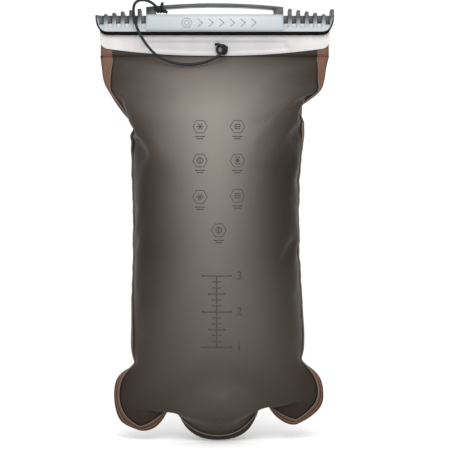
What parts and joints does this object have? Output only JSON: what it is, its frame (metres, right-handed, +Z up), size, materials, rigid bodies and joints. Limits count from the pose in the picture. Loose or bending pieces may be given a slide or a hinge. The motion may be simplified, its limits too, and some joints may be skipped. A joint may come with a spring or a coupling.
{
  "type": "hydration bladder",
  "caption": "Soft slide-top water reservoir, filled, hanging from its ribbed closure bar, with lanyard and a shut-off drinking port on the back.",
  "frame": {"origin": "middle of the underside of the closure's handle arch, where the bladder hangs", "axes": "+X along the closure bar towards its closed end, +Y to the back, with the drinking port, +Z up"},
  "size_m": [0.2136, 0.1266, 0.3959],
  "materials": {
    "film": "translucent brown-grey TPU film",
    "strip": "pale stiff strip",
    "bar": "smoky moulded plastic",
    "cord": "dark braided cord",
    "port": "dark moulded plastic",
    "latch": "grey moulded plastic",
    "spring": "stainless spring wire",
    "seal": "silicone rubber"
  },
  "bodies": {
    "closure": {"slide_closure": "bar", "handle_knot": "cord", "lanyard": "cord"},
    "bladder": {"front_panel": "film", "back_panel": "film", "left_gusset": "film", "right_gusset": "film", "base_gusset": "film", "front_strip": "strip", "back_strip": "strip", "front_rail": "strip", "back_rail": "strip", "strip_knot": "cord", "port_flange": "port", "port_socket": "port", "port_cap": "port", "spring_cage": "port", "latch_spring": "spring", "poppet_spring": "spring"},
    "latch": {"latch_button": "latch"},
    "valve": {"valve_poppet": "latch", "poppet_o_ring": "seal"}
  },
  "joints": [
    {"name": "bar_slide", "type": "slide", "parent": "closure", "child": "bladder", "axis": [-1, 0, 0], "range_m": [0, 0.205]},
    {"name": "latch_press", "type": "slide", "parent": "bladder", "child": "latch", "axis": [0, 0, -1], "range_m": [0, 0.0012], "stiffness_N_per_m": 1500, "springref_m": -0.002, "deforming": ["latch_spring"]},
    {"name": "valve_open", "type": "slide", "parent": "bladder", "child": "valve", "axis": [0, -1, 0], "range_m": [0, 0.003], "stiffness_N_per_m": 600, "springref_m": -0.003, "deforming": ["poppet_spring"]}
  ]
}
